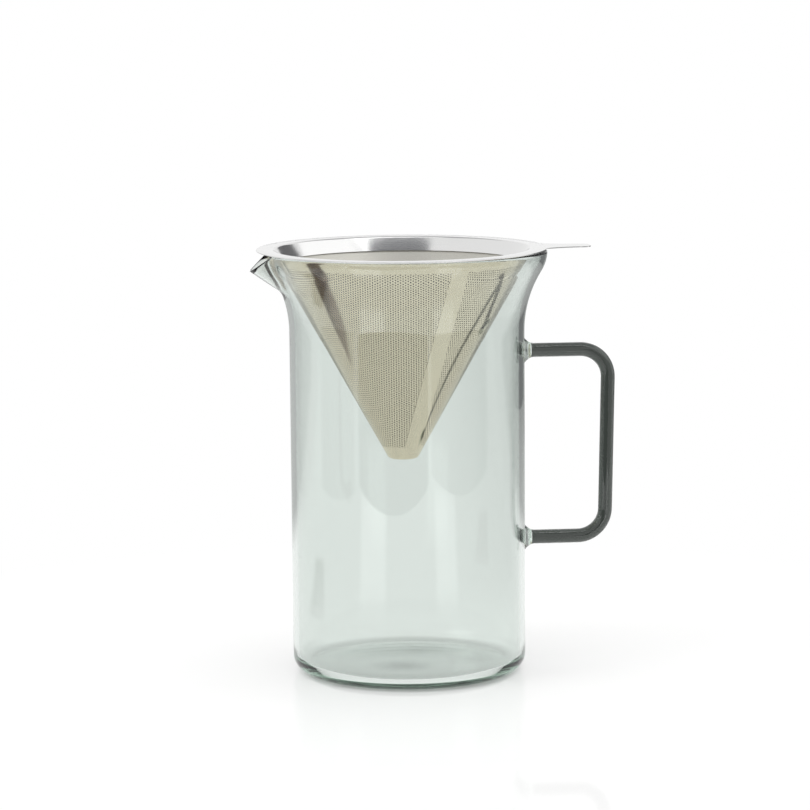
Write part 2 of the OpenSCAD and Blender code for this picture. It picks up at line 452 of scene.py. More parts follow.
def make_foot(name, height):
    """A flared foot from the rod's end to the wall, at a height."""
    foot = ring_of_rod(name, ROD_START + SINK, height)
    x = ROD_START + SINK
    while x > BODY_R + SMALL:
        step = min(RING_STEP, x - BODY_R)
        next_ring(spot(-step, 0), spot(x, height), foot_radius(x - step) / foot_radius(x))
        x -= step
    for share in (1.0, 0.8, 0.55, 0.3, 0.12):
        extrude()
        mesh = bmesh.from_edit_mesh(foot.data)
        for v in (v for v in mesh.verts if v.select):
            side, up = v.co.y, v.co.z - height
            grown = share * FOOT_R / hypot(side, up)
            v.co.y, v.co.z = side * grown, height + up * grown
            v.co.x = sqrt((BODY_R - SINK) ** 2 - v.co.y**2)
        bmesh.update_edit_mesh(foot.data)
    bpy.ops.mesh.edge_face_add()
    cap_ends(foot, lambda p: abs(p.x - ROD_START - SINK) < 0.001 * MM)
    close_up()
    settle()
    return foot


upper_foot = make_foot("handle_feet", ARM_TOP)
lower_foot = make_foot("lower_foot", ARM_LOW)
join_pieces(upper_foot, lower_foot)
finish_piece(upper_foot, "jug", "jug_glass", "handle", sharp=50)

# %% [markdown]
# ## The filter's rim
#
# The rim is pressed from one sheet of bright steel: a flat flange, a soft
# corner, and a collar that leans in with the cone. Its section is drawn as a
# closed loop, 0.5 mm thick, and spun round the filter's own axis, which sits
# 2 mm from the jug's towards the spout. The flange's edge is rounded, because a
# polished edge always is, and it catches the light as a fine line.

# %% Draw the rim's section and spin it
FILTER_X = -2 * MM
CONE_LEAN = 29
LEAN_IN = radians(CONE_LEAN)
RIM_T = 0.5 * MM
FLANGE_TOP = 181.75 * MM
FLANGE_R = 61.674 * MM
THROAT_R = 54.48 * MM
PRESS_R = 1.2 * MM
COLLAR_Z = 175.75 * MM
EDGE_ROUND = RIM_T / 2


def cone_radius(z, depth):
    """Radius of the cone that lies this deep outside the collar's inner face."""
    return THROAT_R - (FLANGE_TOP - z) * tan(LEAN_IN) + depth / cos(LEAN_IN)


def at_filter(points):
    """The same outline, moved to the filter's axis."""
    return [p + spot(FILTER_X, 0) for p in points]


press_x = THROAT_R + PRESS_R / tan((pi / 2 + LEAN_IN) / 2)
press_z = FLANGE_TOP - PRESS_R
rim_section = (
    arc(FLANGE_R - EDGE_ROUND, FLANGE_TOP - EDGE_ROUND, EDGE_ROUND, -90, 90, 6)
    + arc(press_x, press_z, PRESS_R, 90, 180 - CONE_LEAN, 8)
    + [spot(cone_radius(COLLAR_Z, 0), COLLAR_Z), spot(cone_radius(COLLAR_Z, RIM_T), COLLAR_Z)]
    + arc(press_x, press_z, PRESS_R - RIM_T, 180 - CONE_LEAN, 90, 8)
)
rim = draw_outline("filter_rim_steel", at_filter(rim_section), closed=True)
spin_outline(384, FILTER_X)
print("The collar ends", round((FLANGE_TOP - COLLAR_Z) * 1000, 2), "mm under the flange's top")

# %% [markdown]
# ## The tab
#
# The tab that lifts the filter is part of the same sheet. The faces of the
# flange's edge that look along +X are extruded outwards a little at a time, and
# after each step they are narrowed across, so that the tab leaves the round
# flange in a curve. Bevel could round its two corners, but the tab's edge is
# already round, so the last part of its sides is drawn back along an arc.

# %% Extrude the tab from the flange's edge
TAB_ROOT_HALF = 11.5 * MM
TAB_HALF = 6.3 * MM
TAB_END = FLANGE_R + 19 * MM
TAB_STEPS = 18
TAB_CORNER = 4.2 * MM
TAB_LAST = 1.6 * TAB_CORNER


def at_tab_root(p):
    """True on the flange's rounded edge, where it looks along +X."""
    on_edge = (p - spot(FILTER_X, 0)).xy.length > FLANGE_R - 0.6 * EDGE_ROUND
    return on_edge and p.x > 0 and abs(p.y) < TAB_ROOT_HALF


print("Faces that the tab grows from:", pick(rim, at_tab_root, "faces"))
tab_root = sqrt(FLANGE_R**2 - TAB_ROOT_HALF**2)
extrude()
mesh = bmesh.from_edit_mesh(rim.data)
half = max(v.co.y for v in mesh.verts if v.select)
for i in range(1, TAB_STEPS + 1):
    far = i / TAB_STEPS
    width = TAB_HALF + (TAB_ROOT_HALF - TAB_HALF) * (1 - far) ** 3
    goal = FILTER_X + tab_root + (TAB_END - tab_root) * far
    mesh = bmesh.from_edit_mesh(rim.data)
    for v in (v for v in mesh.verts if v.select):
        v.co.y *= width / half
        v.co.x = max(v.co.x, goal)
    bmesh.update_edit_mesh(rim.data)
    half = width
    if i < TAB_STEPS:
        extrude()

# %% Round the tab's corners
def round_tab_end(p):
    """Draws the tab's last part back at its sides, so that its corners are round."""
    start = FILTER_X + TAB_END - TAB_LAST
    far = (p.x - start) / TAB_LAST
    if far <= 0:
        return p
    side = min(1, max(0, abs(p.y) - (half - TAB_CORNER)) / TAB_CORNER)
    limit = FILTER_X + TAB_END - TAB_CORNER * (1 - sqrt(1 - side**2))
    return Vector((start + (limit - start) * far, p.y, p.z))


move_points(rim, round_tab_end)
close_up()
finish_piece(rim, "filter", "polished_steel", "filter_rim", sharp=35)

# %% [markdown]
# ## The fine mesh
#
# Inside the steel cone lies a second one of fine woven mesh, which shows below
# the collar and behind every hole. Its weave is far too fine to model thread by
# thread, so the piece is a thin shell, and the material draws the weave. For
# that the shell gets a UV map that is the flat sheet it was cut from: a cone
# unrolls into part of a disc, and on that disc the threads run straight.

# %% Spin the mesh cone
MESH_IN = 0.62 * MM
MESH_OUT = 0.87 * MM
MESH_TOP = 177.35 * MM
MESH_LOW = 93.8 * MM

mesh_section = [
    spot(cone_radius(MESH_TOP, MESH_IN), MESH_TOP),
    spot(cone_radius(MESH_TOP, MESH_OUT), MESH_TOP),
    spot(cone_radius(MESH_LOW, MESH_OUT), MESH_LOW),
    spot(cone_radius(MESH_LOW, MESH_IN), MESH_LOW),
]
mesh_cone = draw_outline("filter_mesh_cone", at_filter(mesh_section), closed=True)
spin_outline(192, FILTER_X)
settle()
print("Faces of the mesh cone:", len(mesh_cone.data.polygons))

# %% Unroll it into a UV map, in metres
flat_sheet = mesh_cone.data.uv_layers.new(name="flat_sheet")
for face in mesh_cone.data.polygons:
    points = [mesh_cone.data.vertices[v].co - spot(FILTER_X, 0) for v in face.vertices]
    turns = [atan2(p.y, p.x) for p in points]
    crosses = max(turns) - min(turns) > pi
    for loop, p, turn in zip(face.loop_indices, points, turns):
        turn = (turn + 2 * pi if crosses and turn < 0 else turn) * sin(LEAN_IN)
        slant = hypot(p.x, p.y) / sin(LEAN_IN)
        flat_sheet.data[loop].uv = (slant * cos(turn), slant * sin(turn))
finish_piece(mesh_cone, "filter", "steel_mesh", "filter_mesh", sharp=35)

# %% [markdown]
# ## The perforated cone
#
# The outer cone is rolled from a flat sheet with nearly 14,000 small holes in
# staggered columns, 1.2 mm apart. A picture of holes would be quicker, but it
# would not let the mesh behind show through. So one cell is modelled: a
# six-sided hole with a rim that ends on a hexagon. Hexagons tile a plane, so
# two Array modifiers make the whole sheet from two such cells. What lies
# outside the cone's cut, or on its seam, is deleted, and the rest is rolled.
# The holes are too small to show the sheet's thickness, so only its outer face
# is made, and the plain edges below give it its thickness where that shows.

# %% Model one pair of cells and repeat them
PITCH = 1.2 * MM
HOLE_R = 0.3 * MM
SHEET_OUT = 1.39 * MM
COLUMN = PITCH * sqrt(3) / 2
CELL_POINTS = 12
HOLES_TOP = 176.4 * MM
HOLES_LOW = 97.3 * MM
SEAM_HALF = 3.5 * MM
FACING = radians(-95.5)
SEAM_AT = radians(-68.5)

slant_top = cone_radius(HOLES_TOP, SHEET_OUT) / sin(LEAN_IN)
slant_low = cone_radius(HOLES_LOW, SHEET_OUT) / sin(LEAN_IN)
seam_turn = (SEAM_AT - FACING) * sin(LEAN_IN)
sheet_turn = 2 * pi * sin(LEAN_IN)
print("The flat sheet turns through", round(degrees(sheet_turn), 1), "degrees")

settle()
bpy.ops.mesh.primitive_circle_add(vertices=6, radius=HOLE_R, fill_type="NOTHING")
sheet = begin("filter_sheet")
bpy.ops.transform.rotate(value=pi / 6, orient_axis="Z", center_override=(0, 0, 0))
select_everything()
extrude()
grown = PITCH / sqrt(3) / HOLE_R
bpy.ops.transform.resize(value=(grown, grown, 1), center_override=(0, 0, 0))
select_everything()
bpy.ops.mesh.duplicate_move(TRANSFORM_OT_translate={"value": (COLUMN, PITCH / 2, 0)})

columns = int((slant_top * (1 + sin(seam_turn))) / (2 * COLUMN)) + 2
rows = int(2 * slant_top / PITCH) + 2
select_everything()
bpy.ops.transform.translate(value=(-slant_top - COLUMN, -slant_top, 0))
settle()
for count, offset in ((columns, (2 * COLUMN, 0, 0)), (rows, (0, PITCH, 0))):
    apply_modifier(
        sheet,
        "ARRAY",
        count=count,
        use_relative_offset=False,
        use_constant_offset=True,
        constant_offset_displace=offset,
    )
print("Cells in the flat sheet:", len(sheet.data.vertices) // CELL_POINTS)

# %% Rules for the cut and the roll
def flat_turn(x, y):
    """Angle of a flat point from the line that faces the front, on its own side of the seam."""
    turn = atan2(x, y)
    return turn - 2 * pi if turn > seam_turn else turn


def keep_cell(x, y):
    """True for a hole that lies on the cut sheet."""
    slant, turn = hypot(x, y), flat_turn(x, y)
    if not slant_low - 0.2 * PITCH < slant < slant_top + 0.2 * PITCH:
        return False
    from_seam = min(seam_turn - turn, turn - (seam_turn - sheet_turn))
    return from_seam > 0 and slant * sin(min(from_seam, pi / 2)) > SEAM_HALF


def onto_cone(slant, azimuth, proud=0.0):
    """A point of the rolled cone, this far outside the sheet's outer face."""
    radius = slant * sin(LEAN_IN)
    height = FLANGE_TOP - (THROAT_R + SHEET_OUT / cos(LEAN_IN) - radius) / tan(LEAN_IN)
    outwards = Vector((cos(azimuth) * cos(LEAN_IN), sin(azimuth) * cos(LEAN_IN), -sin(LEAN_IN)))
    return Vector((FILTER_X + radius * cos(azimuth), radius * sin(azimuth), height)) + outwards * proud


def roll(flat):
    """Rolls a point of the flat sheet onto the cone."""
    return onto_cone(hypot(flat.x, flat.y), FACING + flat_turn(flat.x, flat.y) / sin(LEAN_IN))


# %% Cut and roll the sheet
bpy.ops.object.mode_set(mode="EDIT")
bpy.ops.mesh.select_mode(type="VERT")
bpy.ops.mesh.select_all(action="DESELECT")
mesh = bmesh.from_edit_mesh(sheet.data)
mesh.verts.ensure_lookup_table()
kept = 0
for first in range(0, len(mesh.verts), CELL_POINTS):
    cell = [mesh.verts[i] for i in range(first, first + CELL_POINTS)]
    middle = sum((v.co for v in cell), Vector()) / CELL_POINTS
    if keep_cell(middle.x, middle.y):
        kept += 1
    else:
        for v in cell:
            v.select_set(True)
mesh.select_flush_mode()
bmesh.update_edit_mesh(sheet.data)
bpy.ops.mesh.delete(type="VERT")
move_points(sheet, roll)
close_up(0.01 * MM)
mesh = bmesh.from_edit_mesh(sheet.data)
axis_spot = spot(FILTER_X, 0)
outward = sum(face.normal.xy.dot((face.calc_center_median() - axis_spot).xy) for face in mesh.faces)
if outward < 0:
    bpy.ops.mesh.flip_normals()
print("Holes in the cone:", kept)

# %% Give the sheet the smooth normals of a true cone
finish_piece(sheet, "filter", "perforated_steel", "filter_cone")


def cone_normal(p):
    """The outward normal of the cone at a point."""
    across = Vector((p.x - FILTER_X, p.y, 0)).normalized()
    return (across * cos(LEAN_IN) + Vector((0, 0, -sin(LEAN_IN)))).normalized()


sheet.data.normals_split_custom_set_from_vertices([cone_normal(v.co) for v in sheet.data.vertices])

# %% [markdown]
# ## The plain edges of the cone
#
# A perforated blank keeps a plain border: a hem at the top, a band at the tip
# that curls in under the disc, and the strip where the ends overlap and are
# welded. The hem and the tip are turned, as the rim is. The hem goes on past
# the cone's top and closes against the collar, so that both look like one
# surface from outside. The strip is a flat grid that gets its thickness while
# it is flat, and is then rolled by the same rule as the sheet, so the two
# always fit.

# %% Spin the hem and the curled tip
PROUD = 0.005 * MM
BAND_OUT = SHEET_OUT + PROUD
BAND_IN = 0.99 * MM
CONE_TOP = 177.35 * MM
CURL_X = 5.05 * MM
CURL_Z = 93.8 * MM
CURL_R = 2 * MM
SHEET_T = 0.4 * MM
LIP_W = 1.4 * MM
HEM_END = 180.7 * MM
HEM_GAP = 0.02 * MM
OVERLAP = 0.35 * MM

hem_low = HOLES_TOP - OVERLAP
hem_section = [
    spot(cone_radius(hem_low, BAND_OUT), hem_low),
    spot(cone_radius(HEM_END, BAND_OUT), HEM_END),
    spot(cone_radius(HEM_END, RIM_T + HEM_GAP), HEM_END),
    spot(cone_radius(CONE_TOP, RIM_T + HEM_GAP), CONE_TOP),
    spot(cone_radius(CONE_TOP, BAND_IN), CONE_TOP),
    spot(cone_radius(hem_low, BAND_IN), hem_low),
]
hem = draw_outline("filter_cone_edges", at_filter(hem_section), closed=True)
spin_outline(256, FILTER_X)

band_top = HOLES_LOW + OVERLAP
tip_section = (
    [spot(cone_radius(band_top, BAND_IN), band_top), spot(cone_radius(band_top, BAND_OUT), band_top)]
    + arc(CURL_X, CURL_Z, CURL_R + PROUD, -CONE_LEAN, -90, 8)
    + [spot(CURL_X - LIP_W, CURL_Z - CURL_R - PROUD), spot(CURL_X - LIP_W, CURL_Z - CURL_R + SHEET_T)]
    + arc(CURL_X, CURL_Z, CURL_R - SHEET_T, -90, -CONE_LEAN, 8)
)
tip = draw_outline("cone_tip", at_filter(tip_section), closed=True)
spin_outline(192, FILTER_X)
print("The tip's lowest point in mm:", round((CURL_Z - CURL_R - PROUD) * 1000, 2))

# %% Roll the seam strip
STRIP_PROUD = 0.06 * MM
STRIP_OVER = 0.6 * MM

strip_low = slant_low - STRIP_OVER
strip_long = slant_top - slant_low + 2 * STRIP_OVER
settle()
bpy.ops.mesh.primitive_grid_add(x_subdivisions=6, y_subdivisions=90, size=1)
strip = begin("cone_seam")
bpy.ops.transform.resize(value=(2 * SEAM_HALF + 0.5 * PITCH, strip_long, 1))
bpy.ops.transform.translate(value=(0, strip_low + strip_long / 2, 0))
select_everything()
extrude((0, 0, -SHEET_T))


def roll_strip(p):
    """Rolls a point of the flat strip onto the cone, centred on the seam."""
    return onto_cone(hypot(p.x, p.y), SEAM_AT + atan2(p.x, p.y) / sin(LEAN_IN), p.z + STRIP_PROUD)


move_points(strip, roll_strip)
close_up()
join_pieces(hem, tip, strip)
finish_piece(hem, "filter", "perforated_steel", "filter_cone", sharp=35)

# %% [markdown]
# ## Finishes: a few helpers
#
# Every finish starts from Blender's Principled shader. Numbers that are the
# same all over a surface are typed on the shader itself, and only what changes
# from place to place comes from nodes, so that other programs can read it. The
# nodes could be wired by hand. Short helpers do the same here in fewer words.

# %% Start a finish
def start_finish(name, **values):
    """A material with one Principled shader, its values set on its own sockets."""
    material = bpy.data.materials.new(name)
    material.use_nodes = True
    shader = material.node_tree.nodes["Principled BSDF"]
    for socket, value in values.items():
        shader.inputs[socket.replace("_", " ")].default_value = value
    return material, shader


def wear(piece, material):
    """The piece wears this finish and no other."""
    piece.data.materials.clear()
    piece.data.materials.append(material)
    print(piece.name, "wears", material.name)


# %% Helpers for nodes
def link(owner, source, target):
    """One wire from an output to an input, in a material or in the world."""
    owner.node_tree.links.new(source, target)


def find_socket(node, name):
    """A node's input by its name, or by its number where it is called i0, i1 and so on."""
    if name[0] == "i" and name[1:].isdigit():
        return node.inputs[int(name[1:])]
    return node.inputs[name.replace("_", " ")]


def add_node(owner, kind, settings=(), **sources):
    """Adds a node with these settings. A source is a socket of another node, or a value."""
    node = owner.node_tree.nodes.new("ShaderNode" + kind)
    for name, value in dict(settings).items():
        setattr(node, name, value)
    for name, source in sources.items():
        if isinstance(source, bpy.types.NodeSocket):
            link(owner, source, find_socket(node, name))
        else:
            find_socket(node, name).default_value = source
    return node


def mix_surface(material, share, first, second):
    """The material's surface: a share of the second shader over the first."""
    mix = add_node(material, "MixShader", Fac=share, i1=first, i2=second)
    link(material, mix.outputs["Shader"], material.node_tree.nodes["Material Output"].inputs["Surface"])


# %% Helpers for places, sums and ramps
def surface_place(material):
    """The place on a piece, in metres, which patterns follow."""
    return add_node(material, "TexCoord").outputs["Object"]


def calculate(owner, operation, first, second=0.0):
    """The result of one sum."""
    return add_node(owner, "Math", {"operation": operation}, i0=first, i1=second).outputs[0]


def ramp(owner, value, low, high, start, end):
    """A value that goes from start to end while another goes from low to high."""
    ends = {"From_Min": low, "From_Max": high, "To_Min": start, "To_Max": end}
    return add_node(owner, "MapRange", Value=value, **ends).outputs["Result"]


def colour_ramp(material, value, dark, light):
    """A colour that goes from dark to light while a value goes from 0 to 1."""
    node = add_node(material, "ValToRGB", Fac=value)
    node.color_ramp.elements[0].color = dark
    node.color_ramp.elements[1].color = light
    return node.outputs["Color"]


# %% [markdown]
# ## Glass
#
# Coloured glass takes its colour from inside: light loses a little for each
# millimetre, more of the red than of the green. A Volume Absorption node does
# this. But if it alone had to tint a wall of 2 mm, the thick corner of the
# floor would be nearly black. So the jug's surface is tinted as well, which
# each ray meets on its way in and out, and the volume only deepens the thick
# parts. The dark rod is the other way round: its colour is nearly all in its
# volume, so that it is lighter along its edges, where light crosses less of
# it. Both have the faint waves of blown glass, stretched along their height.

# %% Make the two glasses
def make_glass(name, skin, colour, density):
    """Glass with a tinted surface, which also swallows light in its volume."""
    material, shader = start_finish(
        name, Transmission_Weight=1.0, IOR=1.47, Base_Color=(*skin, 1), Roughness=0.0
    )
    stretch = add_node(material, "Mapping", Vector=surface_place(material), Scale=(1, 1, 0.45))
    waves = add_node(material, "TexNoise", Vector=stretch.outputs["Vector"], Scale=38.0, Detail=1.0)
    bump = add_node(material, "Bump", Height=waves.outputs["Fac"], Strength=0.12, Distance=0.0002)
    link(material, bump.outputs["Normal"], shader.inputs["Normal"])
    volume = add_node(material, "VolumeAbsorption", Color=(*colour, 1), Density=density)
    output = material.node_tree.nodes["Material Output"]
    link(material, volume.outputs["Volume"], output.inputs["Volume"])
    return material


pale_glass = make_glass("grey_green_glass", (0.862, 0.892, 0.874), (0.46, 0.60, 0.52), 30.0)
dark_glass = make_glass("dark_grey_glass", (0.9, 0.9, 0.9), (0.16, 0.20, 0.17), 560.0)
wear(jug_glass, pale_glass)
wear(upper_foot, pale_glass)
wear(rod, dark_glass)

# %% [markdown]
# ## Steel
#
# All the steel is the same alloy with three surfaces. The rim is polished and
# then brushed round its axis, which leaves fine rings. The perforated cone is
# rolled from a smoother and slightly warmer sheet, with soft clouds in its
# gloss, and the small disc at its tip has the same steel. The mesh is woven
# wire, drawn by two wave textures on its unrolled map, with dark gaps between
# the threads.
#
# Two pieces wear a second finish on some of their faces. The collar's outside
# lies against the hem, so it has the cone's steel. The mesh's outside lies in
# the shadow of the perforated sheet, where light that comes in through a small
# hole is lost between the layers, so that side gets painted shade: the same
# steel in a darker colour.

# %% Make the rim's brushed steel
rim_steel, rim_shader = start_finish(
    "brushed_rim_steel", Metallic=1.0, Base_Color=(0.74, 0.74, 0.735, 1), Roughness=0.16
)
centred = add_node(rim_steel, "Mapping", Vector=surface_place(rim_steel), Location=(-FILTER_X, 0, 0))
axes = add_node(rim_steel, "SeparateXYZ", Vector=centred.outputs["Vector"]).outputs
level_place = add_node(rim_steel, "CombineXYZ", X=axes["X"], Y=axes["Y"]).outputs["Vector"]
radius = add_node(rim_steel, "VectorMath", {"operation": "LENGTH"}, i0=level_place).outputs["Value"]
rings = add_node(rim_steel, "TexNoise", {"noise_dimensions": "1D"}, W=radius, Scale=6000.0, Detail=2.0)
grooves = add_node(rim_steel, "Bump", Height=rings.outputs["Fac"], Strength=0.15, Distance=0.00002)
link(rim_steel, grooves.outputs["Normal"], rim_shader.inputs["Normal"])
wear(rim, rim_steel)

# %% Make the cone's rolled steel
cone_steel, cone_shader = start_finish(
    "rolled_cone_steel", Metallic=1.0, Base_Color=(0.82, 0.73, 0.585, 1), Roughness=0.10
)
cloud = add_node(cone_steel, "TexNoise", Vector=surface_place(cone_steel), Scale=60.0, Detail=3.0)
dullness = ramp(cone_steel, cloud.outputs["Fac"], 0.0, 1.0, 0.07, 0.14)
link(cone_steel, dullness, cone_shader.inputs["Roughness"])
wear(sheet, cone_steel)
wear(hem, cone_steel)
wear(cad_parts["filter_disc"], cone_steel)

# %% Make the woven mesh
THREADS = 1000.0

mesh_steel, mesh_shader = start_finish(
    "woven_mesh_steel", Metallic=1.0, Base_Color=(0.62, 0.61, 0.57, 1), Roughness=0.42
)
flat = add_node(mesh_steel, "UVMap", {"uv_map": "flat_sheet"}).outputs["UV"]
warp = add_node(mesh_steel, "TexWave", {"bands_direction": "X"}, Vector=flat, Scale=THREADS)
weft = add_node(mesh_steel, "TexWave", {"bands_direction": "Y"}, Vector=flat, Scale=THREADS)
weave = calculate(mesh_steel, "MAXIMUM", warp.outputs["Fac"], weft.outputs["Fac"])
threads = colour_ramp(mesh_steel, weave, (0.30, 0.29, 0.26, 1), (0.66, 0.65, 0.60, 1))
link(mesh_steel, threads, mesh_shader.inputs["Base Color"])
wear(mesh_cone, mesh_steel)

# %% Make the mesh's outside, in a darker colour that is painted shade
painted_shade_mesh, shaded_shader = start_finish(
    "mesh_with_painted_shade", Metallic=1.0, Base_Color=(0.2, 0.18, 0.14, 1), Roughness=0.5
)
cloud = add_node(painted_shade_mesh, "TexNoise", Vector=surface_place(painted_shade_mesh), Scale=400.0, Detail=1.0)
# A darker colour, painted as shade for the light that is lost between the two sheets.
shadow = colour_ramp(painted_shade_mesh, cloud.outputs["Fac"], (0.03, 0.027, 0.02, 1), (0.09, 0.08, 0.065, 1))
link(painted_shade_mesh, shadow, shaded_shader.inputs["Base Color"])

# %% Give the collar's outside the cone's steel, and the mesh's outside its painted shade
END_FACE = 0.9


def wear_outside(piece, material, test):
    """A second finish on the faces that look away from the filter's axis and pass the test."""
    piece.data.materials.append(material)
    for face in piece.data.polygons:
        outwards = face.center - spot(FILTER_X, face.center.z)
        face.material_index = int(face.normal.dot(outwards) > 0 and test(face))
    outer = sum(face.material_index for face in piece.data.polygons)
    print(piece.name, "wears", material.name, "on", outer, "faces of its outside")


wear_outside(rim, cone_steel, lambda face: face.center.z < FLANGE_TOP - PRESS_R)
wear_outside(mesh_cone, painted_shade_mesh, lambda face: abs(face.normal.z) < END_FACE)

# %% [markdown]
# ## The table
#
# The photograph is a white studio: a white table, a white wall and large soft
# lamps. A curved backdrop could be modelled, but a wide table and a white
# world look the same from every side. The table mixes two shaders. One is a
# glossy white surface, which takes the object's soft shadow and mirrors it
# faintly. The other glows evenly. It is all that rays through glass see, and
# further away it takes over for the camera and for mirrored rays too, so that
# the table ends in the same white as the world.

# %% Lay the white table
TABLE_R = 3.0
GLOW_FROM = 0.17
GLOW_FULL = 0.30
GLOW_NEAR = 0.3

bpy.ops.mesh.primitive_circle_add(
    vertices=128, radius=TABLE_R, fill_type="NGON", rotation=(0, 0, CAMERA_ROUND)
)
table = bpy.context.object
table.name = table.data.name = "table"
white_table, table_shader = start_finish(
    "white_table", Base_Color=(0.97, 0.97, 0.965, 1), Roughness=0.07, IOR=1.8
)
wear(table, white_table)


def between(value, low, high, start=0.0, end=1.0):
    """A ramp on the table, where most shares go from 0 to 1."""
    return ramp(white_table, value, low, high, start, end)


def chain(operation, first, *others):
    """The same sum on the table, carried on over several values."""
    for other in others:
        first = calculate(white_table, operation, first, other)
    return first


rays = add_node(white_table, "LightPath").outputs
table_place = surface_place(white_table)
axes = add_node(white_table, "SeparateXYZ", Vector=table_place).outputs
side, depth = axes["X"], axes["Y"]
away = add_node(white_table, "VectorMath", {"operation": "LENGTH"}, i0=table_place).outputs["Value"]
seen = chain("MAXIMUM", rays["Is Camera Ray"], rays["Is Glossy Ray"])
glow_share = chain("MULTIPLY", seen, between(away, GLOW_FROM, GLOW_FULL, GLOW_NEAR, 1.0))
glow_share = chain("MAXIMUM", glow_share, rays["Is Transmission Ray"])

# %% [markdown]
# ## What the glass and the steel mirror
#
# Glass and steel are only as good as what they mirror, so the room's dark
# parts matter as much as its light ones. The room itself isn't seen, so its
# parts are laid on the table, for rays that something has mirrored already.
# Light Path counts the mirrors as Glossy Depth. The table's X runs to the
# camera's right and its Y away from it. Behind the object the room darkens
# towards both sides, and most of all on the right. Two bright stripes run from
# the jug towards the windows, and a brown mark on the left gives the dark
# streak that runs down the cone's left side.

# %% Darken the room towards its sides
GLOOM = 0.45
RIGHT_GLOOM = 0.2

mirrored = chain("GREATER_THAN", rays["Glossy Depth"], 0.5)
aside = between(calculate(white_table, "ABSOLUTE", side), 0.06, 0.14)
behind = between(depth, 0.26, 0.36)
on_right = chain("MULTIPLY", between(side, -0.02, 0.02), between(away, 0.3, 0.8, 0.0, RIGHT_GLOOM))
gloom = chain("MULTIPLY", aside, behind, chain("ADD", on_right, GLOOM))
print("The darkest part takes", GLOOM + RIGHT_GLOOM, "of the white")

# %% Add the bright stripes of the windows
LEFT_WINDOW = (-33, 12)
RIGHT_WINDOW = (35, 10)
STRIPE_EDGE = 2
SHINE = 0.9

bearing = chain("ARCTAN2", side, chain("MULTIPLY", depth, -1.0))


def stripe(middle, half):
    """A bright stripe that runs away from the jug, round a bearing in degrees."""
    turned = calculate(white_table, "ABSOLUTE", chain("SUBTRACT", bearing, radians(middle)))
    return between(turned, radians(half - STRIPE_EDGE), radians(half + STRIPE_EDGE), 1.0, 0.0)


windows = chain("ADD", stripe(*LEFT_WINDOW), stripe(*RIGHT_WINDOW))
begins = between(away, 0.17, 0.27, 0.0, SHINE)
fades = between(away, 0.5, 0.6, 1.0, 0.0)
shine = chain("MULTIPLY", windows, begins, fades)
gloom = chain("MULTIPLY", mirrored, chain("SUBTRACT", gloom, shine))
print("Bearings of the stripes' middles:", LEFT_WINDOW[0], RIGHT_WINDOW[0])

# %% Lay the brown mark
WHITE = (1, 1, 1, 1)
BROWN = (0.10, 0.07, 0.06, 1)
PALE_BROWN = (0.40, 0.35, 0.36, 1)


def blend(share, first, second):
    """A colour on the table between two others."""
    mix = add_node(white_table, "Mix", {"data_type": "RGBA"}, i0=share, i6=first, i7=second)
    return mix.outputs[2]


mark_right = between(side, -0.172, -0.165, 1.0, 0.0)
mark_left = between(side, -0.33, -0.31)
mark_near = between(depth, -0.024, -0.016)
mark_far = between(depth, 0.040, 0.052, 1.0, 0.0)
mark = chain("MULTIPLY", mirrored, mark_right, mark_left, mark_near, mark_far)
mark_colour = blend(between(side, -0.20, -0.19), BROWN, PALE_BROWN)
tint = blend(mark, WHITE, mark_colour)
print("Nodes in the table's finish so far:", len(white_table.node_tree.nodes))

# %% [markdown]
# ## The table through the glass
#
# The floor of the jug gathers light in some places and keeps it from others,
# so the table under it is shaded, and three soft spots are darker. A glowing
# table can't take such shadows by itself, so they are painted shadows,
# subtracted from its glow where rays arrive through glass and nothing has
# mirrored them. A thin dark line, for the camera alone, is a painted contact
# shadow where the jug's foot meets the table.

# %% Shade the table where it is seen through the glass
FLOOR_SHADE = 0.42
FLOOR_SPOTS = ((-0.003, -0.008, 0.015, 0.34), (0.027, 0.003, 0.012, 0.2), (0.004, 0.026, 0.012, 0.2))
RIGHT_SHADE = 0.13
CONTACT_SHADE = 0.6


def floor_spot(x, y, reach, strength):
    """A small soft shadow under the floor of the glass, which isn't quite even."""
    apart = add_node(white_table, "VectorMath", {"operation": "DISTANCE"}, i0=table_place, i1=(x, y, 0))
    return between(apart.outputs["Value"], 0.1 * reach, reach, strength, 0.0)


unmirrored = chain("SUBTRACT", rays["Is Transmission Ray"], mirrored)
through_glass = chain("MAXIMUM", unmirrored, 0.0)
# Painted shadow under the jug's floor, with three soft painted spots.
under = between(away, 0.045, 0.056, FLOOR_SHADE, 0.0)
for place_and_strength in FLOOR_SPOTS:
    under = chain("ADD", under, floor_spot(*place_and_strength))
to_right = chain("MULTIPLY", between(side, 0.02, 0.08, 0.0, RIGHT_SHADE), between(depth, 0.1, 0.2))
shade = chain("MULTIPLY", through_glass, chain("ADD", under, to_right))
# A painted contact shadow round the jug's foot, for the camera alone.
contact_shadow = chain("MULTIPLY", rays["Is Camera Ray"], between(away, 0.0440, 0.0485, CONTACT_SHADE, 0.0))
print("Soft spots under the floor:", len(FLOOR_SPOTS))

# %% Mix the table's two shaders
glow_level = chain("SUBTRACT", 1.0, gloom, shade, contact_shadow)
glow = add_node(white_table, "Emission", Color=tint, Strength=glow_level).outputs["Emission"]
mix_surface(white_table, glow_share, table_shader.outputs["BSDF"], glow)
print("Nodes in the table's finish:", len(white_table.node_tree.nodes))

# %% [markdown]
# ## The light
#
# The world is white for the camera, for mirrored rays and for rays through
# glass, and a little darker as a light, so that pale surfaces don't clip. Two
# soft boxes give the shadow its side. The left one isn't mirrored, because the
# photograph shows no such lamp in the steel. Light that is caught in thick
# glass needs many bounces to get out again, so their limits are raised.

# %% Light the room
LIGHT_LEVEL = 0.80

